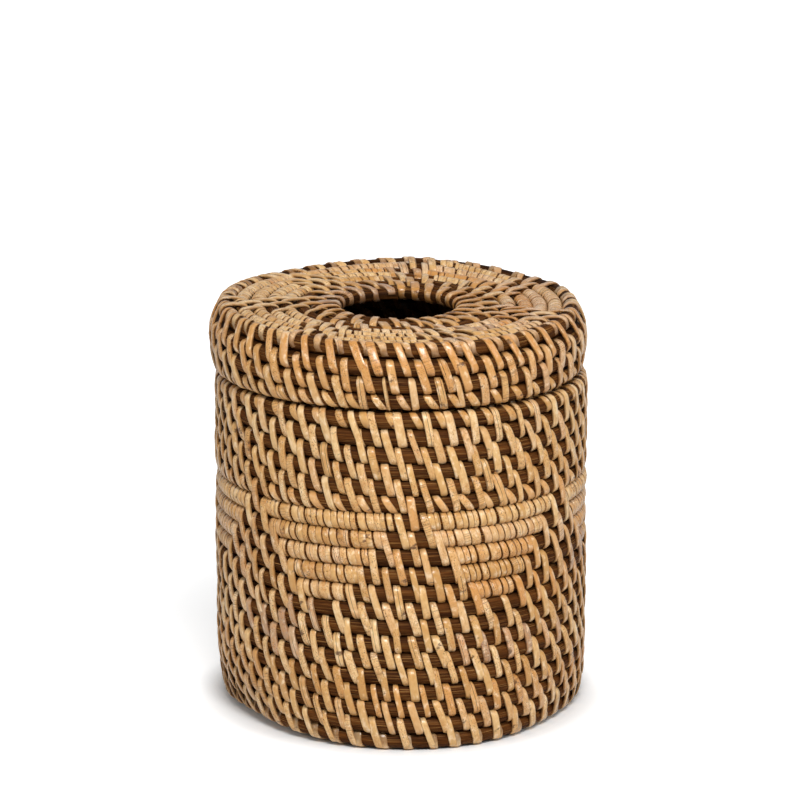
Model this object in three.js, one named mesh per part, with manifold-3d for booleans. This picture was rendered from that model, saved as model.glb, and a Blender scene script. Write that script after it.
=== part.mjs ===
// Round coiled rattan cover for a tissue roll, with a lift-off lid that has a hole in the middle.
// Millimetres, +Z up. The origin is on the axis, in the plane that the basket stands on.
// A dark cane is coiled flat for the base, coiled up for the wall, and coiled again for the lid.
// Light peel is wound close round five turns of the wall and four of the lid for the figures.
import * as THREE from 'three';
import { mergeVertices } from 'three/addons/utils/BufferGeometryUtils.js';
import Module from 'manifold-3d';

// Wall
const wallRadius = 77.4; // centre line of the wall's cane
const caneThickness = 6.4; // the wall's cane, measured the way that its turns stack
const peelGap = 0.85; // room for the lashing between two turns
const rowsBelowFigures = 9;
const figureRows = 5;
const rowsAboveFigures = 6;
const footInset = 2; // the foot turn is drawn in
const footExtraGap = 0.5; // more lashing lies above the foot turn
const footCut = 0.64; // depth of the flat that the basket stands on

// Base
const baseCaneThickness = 6.4;
const baseLift = 0.6; // only the foot turn touches the table
const baseEdgeGap = 0.45;

// Figures on the wall
const figureCount = 7;
const firstFigureAngle = 27.96; // degrees to the right of the front
const figureTopHalfAngle = 21.75; // half of the widest row, at the top
const figureRowStep = 3.8; // each lower row is this much shorter at both ends
const wrapClearance = 0.25;
const wrapThickness = 0.25;
const wrapFullness = 0.5; // the winding is thicker on the outside
const wrapRowClearance = 0.4;

// Lid
const holeRadius = 25.2;
const lidCaneThickness = 6;
const lidTurns = 8;
const rimInset = 0.8; // the lid's edge turn against the wall
const skirtRows = 3;
const skirtPeelGap = 1.1;
const skirtBulge = 0.5; // the skirt's upper turns stand out
const skirtTuck = 1; // its last turn is drawn in
const shadowGap = 2.95; // between the wall's top turn and the skirt
const lidFigureHalfAngle = 17.5;
const lidFigureRowStep = 3.2;
const lidFigureRows = 4;
const firstLidFigureAngle = -8;
const lidWrapThickness = 0.5;

// Collar inside the mouth, which the lid slides over and rests on
const collarCaneThickness = 4.4;
const collarTurns = 8;
const collarDepth = 14; // how far it reaches down inside the mouth
const collarGroove = 0.9; // depth of the groove between two of its turns
const collarSlideGap = 0.6;
const collarSewnGap = 0.35;
const seatGap = 0.3;

// Facets and ends
const caneSides = 5;
const baseSides = 4;
const stepsPerTurn = 24;
const coarseStepsPerTurn = 12;
const coarseRadius = 45; // base turns inside this radius have the coarse steps
const climbHalfTurn = 0.125; // a turn climbs to the next one within this much of the back
const scarfEnd = 1.5; // thickness of a cane's pared end
const scarfWidth = 0.6; // width of the pared end, as a share of the cane's
const leastStep = 0.001; // stations closer than this part of a turn are one
const weldDistance = 0.0001; // points closer than this are one

const wasm = await Module();
wasm.setup();

const { lerp, euclideanModulo } = THREE.MathUtils;

const caneMaterial = new THREE.MeshStandardMaterial({ color: 0x4a3224, roughness: 0.62, metalness: 0 });
const peelMaterial = new THREE.MeshStandardMaterial({ color: 0xd9b47c, roughness: 0.5, metalness: 0 });
const collarMaterial = new THREE.MeshStandardMaterial({ color: 0x5a3d2a, roughness: 0.7, metalness: 0 });

const part = new THREE.Group();

function addPiece(name, geometry, material) {
  const mesh = new THREE.Mesh(geometry, material);
  mesh.name = name;
  part.add(mesh);
}

// A closed body from its points and its triangles, turned so that its faces point out.
function bodyFrom(points, triangles) {
  let volume = 0;
  for (const [a, b, c] of triangles) {
    volume += points[a].dot(points[b].clone().cross(points[c])) / 6;
  }
  const outward = volume > 0 ? triangles : turnedOver(triangles);
  const geometry = new THREE.BufferGeometry();
  const positions = points.flatMap((p) => [p.x, p.y, p.z]);
  geometry.setAttribute('position', new THREE.Float32BufferAttribute(positions, 3));
  geometry.setIndex(outward.flat());
  geometry.computeVertexNormals();
  return geometry;
}

function toSolid(geometry) {
  const bare = geometry.clone();
  bare.deleteAttribute('normal');
  bare.deleteAttribute('uv');
  const merged = mergeVertices(bare, weldDistance);
  return new wasm.Manifold(new wasm.Mesh({
    numProp: 3,
    vertProperties: new Float32Array(merged.attributes.position.array),
    triVerts: new Uint32Array(merged.index.array),
  }));
}

function toGeometry(solid) {
  const mesh = solid.getMesh();
  const geometry = new THREE.BufferGeometry();
  geometry.setAttribute('position', new THREE.BufferAttribute(mesh.vertProperties, 3));
  geometry.setIndex(new THREE.BufferAttribute(mesh.triVerts, 1));
  geometry.computeVertexNormals();
  return geometry;
}

// The cane's section, in [out, along the stack]: a corner points out, and the stack height is exact.
function caneSection(sides, thickness, grow = 0) {
  const corners = Array.from({ length: sides }, (_, i) => (2 * Math.PI * i) / sides);
  const tallest = Math.max(...corners.map(Math.sin));
  const radius = thickness / 2 / tallest + grow / Math.cos(Math.PI / sides);
  return corners.map((angle) => [radius * Math.cos(angle), radius * Math.sin(angle)]);
}

const stackReach = (sides, thickness, grow) => (
  Math.max(...caneSection(sides, thickness, grow).map(([, along]) => along)));
const outReach = (sides, thickness, grow) => caneSection(sides, thickness, grow)[0][0];
const inReach = (sides, thickness) => (
  -Math.min(...caneSection(sides, thickness).map(([out]) => out)));

// A coil is a list of rows in the order of winding, each { r, z }. A turn lies level in its row
// and climbs to the next row round the back. Both of its ends are pared thin against their turn.
class Coil {
  constructor({ rows, sides, thickness, stackAlong, outward, gap, pareStart, coarseRows = 0 }) {
    Object.assign(this, { sides, thickness, stackAlong, outward });
    this.rows = rows.map((row) => ({ ...row, along: 1, out: 1 }));
    const first = this.rows[0];
    const last = this.rows.at(-1);
    const paredRow = (row, neighbour) => {
      const away = new THREE.Vector2(row.r - neighbour.r, row.z - neighbour.z).normalize();
      const shift = (thickness + gap) / 2;
      const [r, z] = [row.r + away.x * shift, row.z + away.y * shift];
      return { r, z, along: -gap / thickness, out: scarfWidth };
    };
    this.before = paredRow(first, this.rows[1]);
    this.after = paredRow(last, this.rows.at(-2));
    this.turns = rows.length;
    const pared = (scarfEnd + gap) / (thickness + gap);
    const paredTurn = climbHalfTurn * (2 / Math.PI) * Math.asin(2 * pared - 1);
    this.start = pareStart ? paredTurn : climbHalfTurn;
    this.end = this.turns - paredTurn;
    this.stations = [this.start];
    for (let k = Math.floor(this.start * stepsPerTurn) + 1; k < this.end * stepsPerTurn; k += 1) {
      const s = k / stepsPerTurn;
      const isLevel = Math.abs(s - Math.round(s)) > climbHalfTurn;
      const isCoarse = s < coarseRows && isLevel && (k * coarseStepsPerTurn) % stepsPerTurn !== 0;
      if (!isCoarse && s - this.stations.at(-1) > leastStep) this.stations.push(s);
    }
    this.stations.push(this.end);
  }

  // The row at s turns from the start, blended where the turn climbs.
  rowAt(s) {
    const pick = (i) => this.rows[i] ?? (i < 0 ? this.before : this.after);
    const seam = Math.round(s);
    const offSeam = (s - seam) / climbHalfTurn;
    if (Math.abs(offSeam) >= 1) return pick(Math.floor(s));
    const climbed = 0.5 + 0.5 * Math.sin((Math.PI / 2) * offSeam);
    const [low, high] = [pick(seam - 1), pick(seam)];
    return Object.fromEntries(['r', 'z', 'along', 'out'].map(
      (key) => [key, lerp(low[key], high[key], climbed)]));
  }

  // The section's points at a station, for a section grown or pushed out by the caller.
  station(s, section) {
    const row = this.rowAt(s);
    const angle = Math.PI + 2 * Math.PI * s; // from the front, towards the right
    return section.map(([out, along]) => {
      const o = out * row.out;
      const a = along * row.along;
      const r = row.r + this.outward.x * o + this.stackAlong.x * a;
      const z = row.z + this.outward.y * o + this.stackAlong.y * a;
      return new THREE.Vector3(r * Math.sin(angle), -r * Math.cos(angle), z);
    });
  }

  // The section's points anywhere on the coil, on the straight facets between two stations.
  ring(s, section = caneSection(this.sides, this.thickness)) {
    const after = this.stations.findIndex((station) => station > s - leastStep / 2);
    const high = this.stations[Math.max(after, 1)];
    const low = this.stations[Math.max(after, 1) - 1];
    const t = (s - low) / (high - low);
    const upper = this.station(high, section);
    return this.station(low, section).map((point, i) => point.lerp(upper[i], t));
  }

  stationsBetween(from, to) {
    const inside = this.stations.filter((s) => s > from + leastStep && s < to - leastStep);
    return [from, ...inside, to];
  }

  body() {
    return sweptBody(this.stations.map((s) => this.ring(s)));
  }

  // The least gap between one turn and the next, from the points of each to the facets of the other.
  leastGap() {
    let least = Infinity;
    const step = 1 / (2 * stepsPerTurn);
    for (let s = this.start; s + 1 <= this.end; s += step) {
      const [a, b] = [this.ring(s), this.ring(s + 1)];
      least = Math.min(least, gapToOutline(a, b), gapToOutline(b, a));
    }
    return least;
  }
}

function gapToOutline(points, outline) {
  const onEdge = new THREE.Vector3();
  return Math.min(...points.flatMap((point) => outline.map((corner, i) => {
    const edge = new THREE.Line3(corner, outline[(i + 1) % outline.length]);
    return edge.closestPointToPoint(point, true, onEdge).distanceTo(point);
  })));
}

// The skin between rings of n points each, whose first ring starts at the point `first`.
function skin(ringCount, n, first = 0) {
  const triangles = [];
  for (let ring = first; ring < first + (ringCount - 1) * n; ring += n) {
    for (let j = 0; j < n; j += 1) {
      const next = (j + 1) % n;
      triangles.push([ring + j, ring + next, ring + n + next]);
      triangles.push([ring + j, ring + n + next, ring + n + j]);
    }
  }
  return triangles;
}

const turnedOver = (triangles) => triangles.map(([a, b, c]) => [a, c, b]);

// A body swept through rings of as many points each, with flat ends.
function sweptBody(rings) {
  const n = rings[0].length;
  const last = (rings.length - 1) * n;
  const triangles = skin(rings.length, n);
  for (let j = 1; j + 1 < n; j += 1) {
    triangles.push([0, j + 1, j], [last, last + j, last + j + 1]);
  }
  return bodyFrom(rings.flat(), triangles);
}

// A tube with a bore, swept through rings of outer points and as many inner points.
function sweptSleeve(outerRings, innerRings) {
  const n = outerRings[0].length;
  const inner = outerRings.length * n;
  const end = inner - n;
  const bore = turnedOver(skin(innerRings.length, n, inner));
  const triangles = [...skin(outerRings.length, n), ...bore];
  for (let j = 0; j < n; j += 1) {
    const next = (j + 1) % n;
    triangles.push([j, inner + next, next], [j, inner + j, inner + next]);
    triangles.push([end + j, end + next, inner + end + next]);
    triangles.push([end + j, inner + end + next, inner + end + j]);
  }
  return bodyFrom([...outerRings.flat(), ...innerRings.flat()], triangles);
}

const up = new THREE.Vector2(0, 1);
const down = new THREE.Vector2(0, -1);
const awayFromAxis = new THREE.Vector2(1, 0);

// Wall: the rows' heights, wider apart where the turns are wound with peel
const wrapReach = stackReach(caneSides, caneThickness, wrapClearance + wrapThickness);
const plainPitch = caneThickness + peelGap;
const figurePitch = 2 * wrapReach + wrapRowClearance;
const rowCount = rowsBelowFigures + figureRows + rowsAboveFigures;
const isFigureRow = (row) => row >= rowsBelowFigures && row < rowsBelowFigures + figureRows;
const pitchOf = (row) => (isFigureRow(row) ? figurePitch : plainPitch);
const wallRows = [{ r: wallRadius - footInset, z: caneThickness / 2 - footCut }];
for (let row = 1; row < rowCount; row += 1) {
  const extra = row === 1 ? footExtraGap : 0;
  const z = wallRows[row - 1].z + (pitchOf(row - 1) + pitchOf(row)) / 2 + extra;
  wallRows.push({ r: wallRadius, z });
}
const wallCoil = new Coil({
  rows: wallRows, sides: caneSides, thickness: caneThickness,
  stackAlong: up, outward: awayFromAxis, gap: peelGap, pareStart: true,
});
const tableSide = 2 * (wallRadius + caneThickness);
const table = new THREE.BoxGeometry(tableSide, tableSide, caneThickness);
table.translate(0, 0, -caneThickness / 2);
const footedWall = toSolid(wallCoil.body()).subtract(toSolid(table));
addPiece('wall_coil', toGeometry(footedWall), caneMaterial);

// Base: a flat spiral from the tight turn in the middle out to the foot
const footInside = wallRows[0].r - inReach(caneSides, caneThickness);
const basePitch = baseCaneThickness + peelGap;
const baseEdge = footInside - baseEdgeGap - baseCaneThickness / 2;
const baseTurns = Math.floor((baseEdge - baseCaneThickness / 2) / basePitch) + 1;
const baseZ = outReach(baseSides, baseCaneThickness) + baseLift;
const baseRows = Array.from({ length: baseTurns }, (_, i) => (
  { r: baseEdge - (baseTurns - 1 - i) * basePitch, z: baseZ }));
const baseCoil = new Coil({
  rows: baseRows, sides: baseSides, thickness: baseCaneThickness,
  stackAlong: awayFromAxis, outward: down, gap: peelGap, pareStart: false,
  coarseRows: baseRows.filter((row) => row.r < coarseRadius).length,
});
addPiece('base_coil', baseCoil.body(), caneMaterial);

// The place on a coil at an angle from the front, in a row of it. A place just short of the back
// counts as past it, so that a figure there stays on the turn that it lies on after the climb.
const shortOfBack = 360 / figureCount / 4;
function turnAt(row, degrees) {
  const angle = euclideanModulo(degrees, 360);
  const isPastBack = angle >= 180 - shortOfBack;
  return row + (angle - 180) / 360 + (isPastBack ? 0 : 1);
}

// Wall figures: each row of a figure is one length of peel wound close round the cane
const innerWrap = caneSection(caneSides, caneThickness, wrapClearance);
const outerWrap = caneSection(caneSides, caneThickness, wrapClearance + wrapThickness);
outerWrap[0][0] += wrapFullness;
for (let figure = 0; figure < figureCount; figure += 1) {
  const centre = firstFigureAngle + (360 / figureCount) * figure;
  for (let j = 0; j < figureRows; j += 1) {
    const row = rowsBelowFigures + figureRows - 1 - j;
    const halfTurn = (figureTopHalfAngle - figureRowStep * j) / 360;
    const middle = turnAt(row, centre);
    const stations = wallCoil.stationsBetween(middle - halfTurn, middle + halfTurn);
    const outer = stations.map((s) => wallCoil.ring(s, outerWrap));
    const inner = stations.map((s) => wallCoil.ring(s, innerWrap));
    addPiece(`wall_figure_${figure + 1}_row_${j + 1}`, sweptSleeve(outer, inner), peelMaterial);
  }
}

// Lid skirt, wound downwards from the lid's edge
const skirtPitch = caneThickness + skirtPeelGap;
const skirtLow = wallRows.at(-1).z + caneThickness + shadowGap;
const skirtRowList = Array.from({ length: skirtRows }, (_, i) => {
  const isLast = i === skirtRows - 1;
  return {
    r: wallRadius + (isLast ? -skirtTuck : skirtBulge),
    z: skirtLow + (skirtRows - 1 - i) * skirtPitch,
  };
});
const skirtCoil = new Coil({
  rows: skirtRowList, sides: caneSides, thickness: caneThickness,
  stackAlong: up, outward: awayFromAxis, gap: skirtPeelGap, pareStart: true,
});
addPiece('lid_skirt_coil', skirtCoil.body(), caneMaterial);

// Lid top: a flat spiral from the hole out to the edge
const lidEdge = wallRadius - rimInset;
const lidHoleTurn = holeRadius + lidCaneThickness / 2;
const lidPitch = (lidEdge - lidHoleTurn) / (lidTurns - 1);
const lidUnderside = skirtRowList[0].z + caneThickness / 2 + peelGap;
const lidZ = lidUnderside + inReach(caneSides, lidCaneThickness);
const lidRows = Array.from({ length: lidTurns }, (_, i) => (
  { r: lidHoleTurn + i * lidPitch, z: lidZ }));
const lidCoil = new Coil({
  rows: lidRows, sides: caneSides, thickness: lidCaneThickness,
  stackAlong: awayFromAxis, outward: up, gap: lidPitch - lidCaneThickness, pareStart: true,
});
addPiece('lid_top_coil', lidCoil.body(), caneMaterial);

// Lid figures: a close-wound field over four turns, a row of ridges that narrows to the hole.
// A ridge follows the two upper faces of the cane's section and meets the next one in the valley.
const lidWrapInner = outReach(caneSides, lidCaneThickness, wrapClearance);
const lidWrapOuter = outReach(caneSides, lidCaneThickness, wrapClearance + lidWrapThickness);
const ridgeFall = Math.tan(Math.PI / caneSides);
const valleyOverlap = 0.15;
const toValley = lidPitch / 2 + valleyOverlap;
const valleyDrop = toValley * ridgeFall;
const ridgeSection = [
  [lidWrapInner, 0],
  [lidWrapInner - valleyDrop, toValley],
  [lidWrapOuter - valleyDrop, toValley],
  [lidWrapOuter, 0],
  [lidWrapOuter - valleyDrop, -toValley],
  [lidWrapInner - valleyDrop, -toValley],
];
for (let figure = 0; figure < figureCount; figure += 1) {
  const centre = firstLidFigureAngle + (360 / figureCount) * figure;
  let field = null;
  for (let j = 0; j < lidFigureRows; j += 1) {
    const row = lidTurns - 2 - j;
    const halfTurn = (lidFigureHalfAngle - lidFigureRowStep * j) / 360;
    const middle = turnAt(row, centre);
    const stations = lidCoil.stationsBetween(middle - halfTurn, middle + halfTurn);
    const ridge = toSolid(sweptBody(stations.map((s) => lidCoil.ring(s, ridgeSection))));
    field = field ? field.add(ridge) : ridge;
  }
  addPiece(`lid_figure_${figure + 1}`, toGeometry(field), peelMaterial);
}

// Collar: thin turns sewn inside the mouth, drawn in above it so that the lid slides over
const mouthZ = wallRows.at(-1).z + caneThickness / 2;
const collarTop = lidUnderside - seatGap;
const collarFoot = mouthZ - collarDepth;
const collarPitch = (collarTop - collarFoot) / collarTurns;
const skirtInside = Math.min(...skirtRowList.map((row) => row.r)) - inReach(caneSides, caneThickness);
const wallInside = wallRadius - inReach(caneSides, caneThickness);
const collarFace = (top) => (
  top < mouthZ ? wallInside - collarSewnGap : skirtInside - collarSlideGap);
const collarGrooveAt = (face, z) => [
  [face - collarGroove, z], [face - collarCaneThickness + collarGroove, z],
];
const collarOutside = [];
const collarInside = [];
for (let turn = 0; turn < collarTurns; turn += 1) {
  const top = collarTop - collarPitch * turn;
  const middle = top - collarPitch / 2;
  const face = collarFace(top);
  const [outerGroove, innerGroove] = collarGrooveAt(face, top);
  collarOutside.push(outerGroove, [face, middle]);
  collarInside.push(innerGroove, [face - collarCaneThickness, middle]);
}
const [outerFoot, innerFoot] = collarGrooveAt(collarFace(collarFoot + collarPitch), collarFoot);
const collarOutline = [...collarInside, innerFoot, outerFoot, ...collarOutside.reverse()];
const collarProfile = collarOutline.map(([r, z]) => new THREE.Vector2(r, z));
collarProfile.push(collarProfile[0].clone());
const collar = new THREE.LatheGeometry(collarProfile, stepsPerTurn);
collar.rotateX(Math.PI / 2);
collar.deleteAttribute('normal').deleteAttribute('uv');
const collarBody = mergeVertices(collar, weldDistance);
collarBody.computeVertexNormals();
addPiece('collar', collarBody, collarMaterial);

for (const [name, coil] of Object.entries({ wallCoil, baseCoil, skirtCoil, lidCoil })) {
  console.log(`${name}: ${coil.turns} turns, least gap to itself ${coil.leastGap().toFixed(2)} mm`);
}

export default part;
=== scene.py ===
# %% [markdown]
# # A round coiled rattan cover for a tissue roll
# The basket and its lid are each one dark cane, wound round and round, and a light strip of peel
# sews every turn to the turn before it. This lesson winds the canes along a path, then leads the
# peel round them stitch by stitch, so that what shows is the real structure and not a picture of it.
# The first cell loads the measured model that everything has to fit.

# %% Load the frame
import math

import bpy
import numpy as np
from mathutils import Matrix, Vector


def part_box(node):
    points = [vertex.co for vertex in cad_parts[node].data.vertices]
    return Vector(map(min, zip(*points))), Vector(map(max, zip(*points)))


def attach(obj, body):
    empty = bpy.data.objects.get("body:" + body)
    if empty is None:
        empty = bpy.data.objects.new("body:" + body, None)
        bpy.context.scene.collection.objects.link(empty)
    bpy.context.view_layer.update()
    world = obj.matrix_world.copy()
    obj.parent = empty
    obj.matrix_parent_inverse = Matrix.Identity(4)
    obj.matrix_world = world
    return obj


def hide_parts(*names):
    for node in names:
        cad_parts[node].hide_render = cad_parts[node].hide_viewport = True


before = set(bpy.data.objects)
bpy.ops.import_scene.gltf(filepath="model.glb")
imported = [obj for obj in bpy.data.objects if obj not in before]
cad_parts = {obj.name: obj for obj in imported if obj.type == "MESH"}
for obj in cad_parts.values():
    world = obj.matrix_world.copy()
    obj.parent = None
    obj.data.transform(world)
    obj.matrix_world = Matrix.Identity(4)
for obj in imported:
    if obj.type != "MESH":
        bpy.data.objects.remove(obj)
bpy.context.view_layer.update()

MM = 0.001
AROUND = 2 * math.pi
random = np.random.default_rng(20)
print("nodes in the frame:", len(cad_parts))

# %% [markdown]
# ## The rows
# A coiled basket is planned in rows. A row is where a turn of cane lies, given as its distance from
# the axis and its height. The base is a flat spiral, the wall goes straight up, and the lid is a flat
# spiral that bends down into a skirt. The rows could be typed in one by one, but most of them are a
# start and a pitch, so they are worked out, and the frame says where the lid and the figures lie.
# In the photograph the rows above the foot lie 1.2 mm higher than in the frame, so that is added.

# %% Rows of the basket
CANE = 3.3 * MM
FIGURE_CANE = 3.45 * MM
FOOT_CANE = 3.45 * MM
PLAIN_PITCH = 7.25 * MM
FIGURE_ROWS = 5
ROWS_BELOW_FIGURES = 9
ROWS_ABOVE_FIGURES = 6
BASE_TURNS = 10
BASE_OUTER = 69.03 * MM
WALL_INSET = 3.36 * MM
FOOT_TUCK = 1.4 * MM
FOOT_HEIGHT = 3.8 * MM
RAISED = 1.2 * MM
MOUTH_RISE = 0.7 * MM

figure_boxes = [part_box(f"wall_figure_1_row_{row + 1}") for row in range(FIGURE_ROWS)]
figure_heights = [(low.z + high.z) / 2 for low, high in reversed(figure_boxes)]
figure_pitch = figure_heights[1] - figure_heights[0]
step_to_plain = (figure_pitch + PLAIN_PITCH) / 2
wall_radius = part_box("wall_coil")[1].x - WALL_INSET

below = np.linspace(figure_heights[0] - step_to_plain, FOOT_HEIGHT - RAISED, ROWS_BELOW_FIGURES)[:-1]
above = [figure_heights[-1] + step_to_plain + i * PLAIN_PITCH for i in range(ROWS_ABOVE_FIGURES)]
wall_heights = [height + RAISED for height in [*below[::-1], *figure_heights, *above]]
wall_heights[-1] += MOUTH_RISE

base_low, base_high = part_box("base_coil")
base_height = (base_low.z + base_high.z) / 2
base_radii = [BASE_OUTER - PLAIN_PITCH * i for i in range(BASE_TURNS)][::-1]

FOOT_ROW = BASE_TURNS
FIRST_FIGURE_ROW = FOOT_ROW + ROWS_BELOW_FIGURES
TOP_FIGURE_ROW = FIRST_FIGURE_ROW + FIGURE_ROWS - 1
basket_rows = [(radius, base_height, CANE, 0) for radius in base_radii]
basket_rows += [(wall_radius - FOOT_TUCK, FOOT_HEIGHT, FOOT_CANE, 0)]
basket_rows += [(wall_radius, height, CANE, 0) for height in wall_heights]
for row in range(FIRST_FIGURE_ROW, TOP_FIGURE_ROW + 1):
    basket_rows[row] = (wall_radius, basket_rows[row][1], FIGURE_CANE, 0)
BASKET_TURNS = len(basket_rows)
mouth_height = wall_heights[-1] + CANE
print("basket:", BASKET_TURNS, "turns, mouth at", round(mouth_height / MM, 1), "mm")

# %% [markdown]
# The lid's rows follow from the wall's, because the lid has to sit on it. Its top dips towards the
# hole and the whole lid leans a little, as cane does that dried unevenly, so a row also has a tilt.
# The last row of the skirt is tucked in under the others.

# %% Rows of the lid
LID_CANE = 2.95 * MM
RIM_CANE = 3.2 * MM
HALF_ROW = 3.4 * MM
LID_TURNS = 8
LID_DISH = 1.7 * MM
LID_TILT = 1.9 * MM
HOLE_ROW = 28.2 * MM
RIM_INSET = 2.2 * MM
SKIRT_OUTSET = 0.9 * MM
SKIRT_PITCH = 7.6 * MM
SKIRT_TUCKS = (0.0, 0.0, 1.0 * MM)
SKIRT_TILTS = (0.5, 0.2, 0.0)

lid_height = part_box("lid_top_coil")[0].z + HALF_ROW + RAISED
skirt_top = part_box("lid_skirt_coil")[1].z - HALF_ROW + RAISED
skirt_radius = wall_radius + SKIRT_OUTSET
rim_radius = wall_radius - RIM_INSET
lid_pitch = (rim_radius - HOLE_ROW) / (LID_TURNS - 1)
RIM_ROW = LID_TURNS - 1
lid_rows = []
for row in range(LID_TURNS):
    radius = HOLE_ROW + row * lid_pitch
    dip = LID_DISH * (1 - (row / RIM_ROW) ** 2)
    cane = RIM_CANE if row == RIM_ROW else LID_CANE
    lid_rows.append((radius, lid_height - dip, cane, LID_TILT * radius / rim_radius))
for row, (tuck, tilt) in enumerate(zip(SKIRT_TUCKS, SKIRT_TILTS)):
    lid_rows.append((skirt_radius - tuck, skirt_top - row * SKIRT_PITCH, CANE, LID_TILT * tilt))
LID_ROWS = len(lid_rows)
print("lid:", LID_ROWS, "turns, pitch", round(lid_pitch / MM, 2), "mm")

# %% [markdown]
# ## A path for each coil
# A turn lies level in its row and climbs to the next one within a short stretch at the back, where
# the weaver hides it. One number is enough to walk along the whole coil: the turns wound so far.
# A helix would be shorter to write, but it would tilt every row, and the rows of this basket are
# level from the front. A slow wander of a few tenths of a millimetre keeps it from looking turned
# on a lathe, and a few bends put the dents where the real foot and rim have them.

# %% The coil's path
CLIMB = 0.125
WANDER_RATES = (1.31, 2.73, 4.57, 7.19)
BASKET_ASIDE = 0.5 * MM
LID_ASIDE = -0.8 * MM
HIGH_SIDE = 0.06
PARED_MOST = 0.92
MOST_SWELL = 1.3
CANE_FOCUS = 4
PEEL_FOCUS = 2
END_FADE = 0.05


def wander(seed, size):
    """A smooth random function of the turns wound, with a size in metres."""
    phases = np.random.default_rng(seed).uniform(0, AROUND, len(WANDER_RATES))

    def at(s):
        waves = [np.sin(AROUND * rate * s + phase) for rate, phase in zip(WANDER_RATES, phases)]
        return size * sum(waves) / 2
    return at


class Coil:
    """The centre line of a coil. Each row has a radius, a height, its cane's radius and its tilt.

    A bend is its middle row, rows wide, place and spread in turns, and metres inwards and upwards.
    """

    def __init__(self, rows, seed, sway=0.22 * MM, heave=0.12 * MM, aside=0.0, peel_bulge=1.12,
                 bends=()):
        rows = np.array(rows)
        first = rows[0] + (rows[0] - rows[1]) / 2
        last = rows[-1] + (rows[-1] - rows[-2]) / 2
        self.turns = len(rows)
        self.rows = np.vstack([first, rows, last])
        self.index = np.arange(-1, self.turns + 1)
        self.sway = wander(seed, sway)
        self.heave = wander(seed + 1, heave)
        self.aside = aside
        self.peel_bulge = peel_bulge
        self.bends = bends

    def row(self, s):
        """The row at s turns, with a fraction where the turn climbs."""
        seam = np.round(s)
        return seam - 0.5 + 0.5 * np.sin(math.pi / 2 * np.clip((s - seam) / CLIMB, -1, 1))

    def centre(self, s):
        row = self.row(s)
        radius = np.interp(row, self.index, self.rows[:, 0]) + self.sway(s)
        height = np.interp(row, self.index, self.rows[:, 1]) + self.heave(s)
        height += np.interp(row, self.index, self.rows[:, 3]) * np.cos(AROUND * (s - HIGH_SIDE))
        for middle, rows_wide, place, spread, inwards, upwards in self.bends:
            away = (s - place + 0.5) % 1 - 0.5
            near = np.exp(-((row - middle) / rows_wide) ** 2 - (away / spread) ** 2)
            radius = radius - inwards * near
            height = height + upwards * near
        return np.stack([radius, height], axis=-1)

    def radius_at(self, s):
        """The distance from the axis at one place."""
        return self.centre(np.array([s]))[0, 0]

    def thickness(self, s):
        return np.interp(self.row(s), self.index, self.rows[:, 2])

    def flat(self, s):
        """How much of its height the cane keeps: its two ends are pared to lie flush."""
        row = self.row(s)
        over = np.maximum(-row, row - (self.turns - 1))
        return 1 - np.clip(over, 0, PARED_MOST)

    def bulge(self, s, direction, is_cane):
        """How much further out a side lies where it is pressed against the next turn, as a factor.

        The cane meets the turns beside it half way. The peel lies as far out as peel_bulge says.
        """
        centre, cane = self.centre(s), self.thickness(s)
        factor = 1.0
        for step, is_there in ((-1, s - 1), (1, self.turns - 1 - s)):
            way = self.centre(s + step) - centre
            distance = np.linalg.norm(way, axis=1)
            facing = np.maximum((direction * (way / distance[:, None])[:, None, :]).sum(axis=-1), 0)
            to_half_way = np.clip(distance / 2 / cane, 1, MOST_SWELL)
            most = to_half_way if is_cane else np.full(len(s), self.peel_bulge)
            most = (most - 1) * np.clip(is_there / END_FADE, 0, 1)
            factor = factor + most[:, None] * facing ** (CANE_FOCUS if is_cane else PEEL_FOCUS)
        return factor


def turn_to_space(s, radius, height):
    """Points in space. The back of the basket is a whole number of turns, and turns go rightwards."""
    angle = math.pi + AROUND * s
    return np.stack([radius * np.sin(angle), -radius * np.cos(angle), height], axis=-1)


SEAM_BEND = (3, 0.58, 0.12, 0, -0.6 * MM)
FOOT_BENDS = [(FOOT_ROW, 2.5, 0.36, 0.085, 3.3 * MM, 2.8 * MM),
              (FOOT_ROW, 1.8, 0.305, 0.06, 3.0 * MM, 0.5 * MM),
              (FOOT_ROW, 2.0, 0.665, 0.07, 4.1 * MM, 1.2 * MM),
              (BASKET_TURNS - 1, *SEAM_BEND)]
LID_BENDS = [(RIM_ROW, 2.2, 0.111, 0.061, 0, -2.1 * MM),
             (RIM_ROW, 2.2, -0.028, 0.039, 0, 1.5 * MM),
             (RIM_ROW, 2.2, -0.133, 0.044, 0, -1.4 * MM),
             (LID_ROWS - 1, *SEAM_BEND)]
basket = Coil(basket_rows, seed=3, aside=BASKET_ASIDE, bends=FOOT_BENDS)
lid = Coil(lid_rows, seed=11, aside=LID_ASIDE, peel_bulge=1.02, bends=LID_BENDS)
print("turns:", basket.turns, "and", lid.turns)

# %% [markdown]
# ## From numbers to a mesh
# A cane and a strip of peel are both a section swept along a path, so one function makes both: it
# takes a ring of points for each station and joins the rings with quads. Building the mesh from
# arrays is quicker than a curve with a bevel here, and it lets each point carry what the materials
# need, such as how far along the strip it lies.

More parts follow.
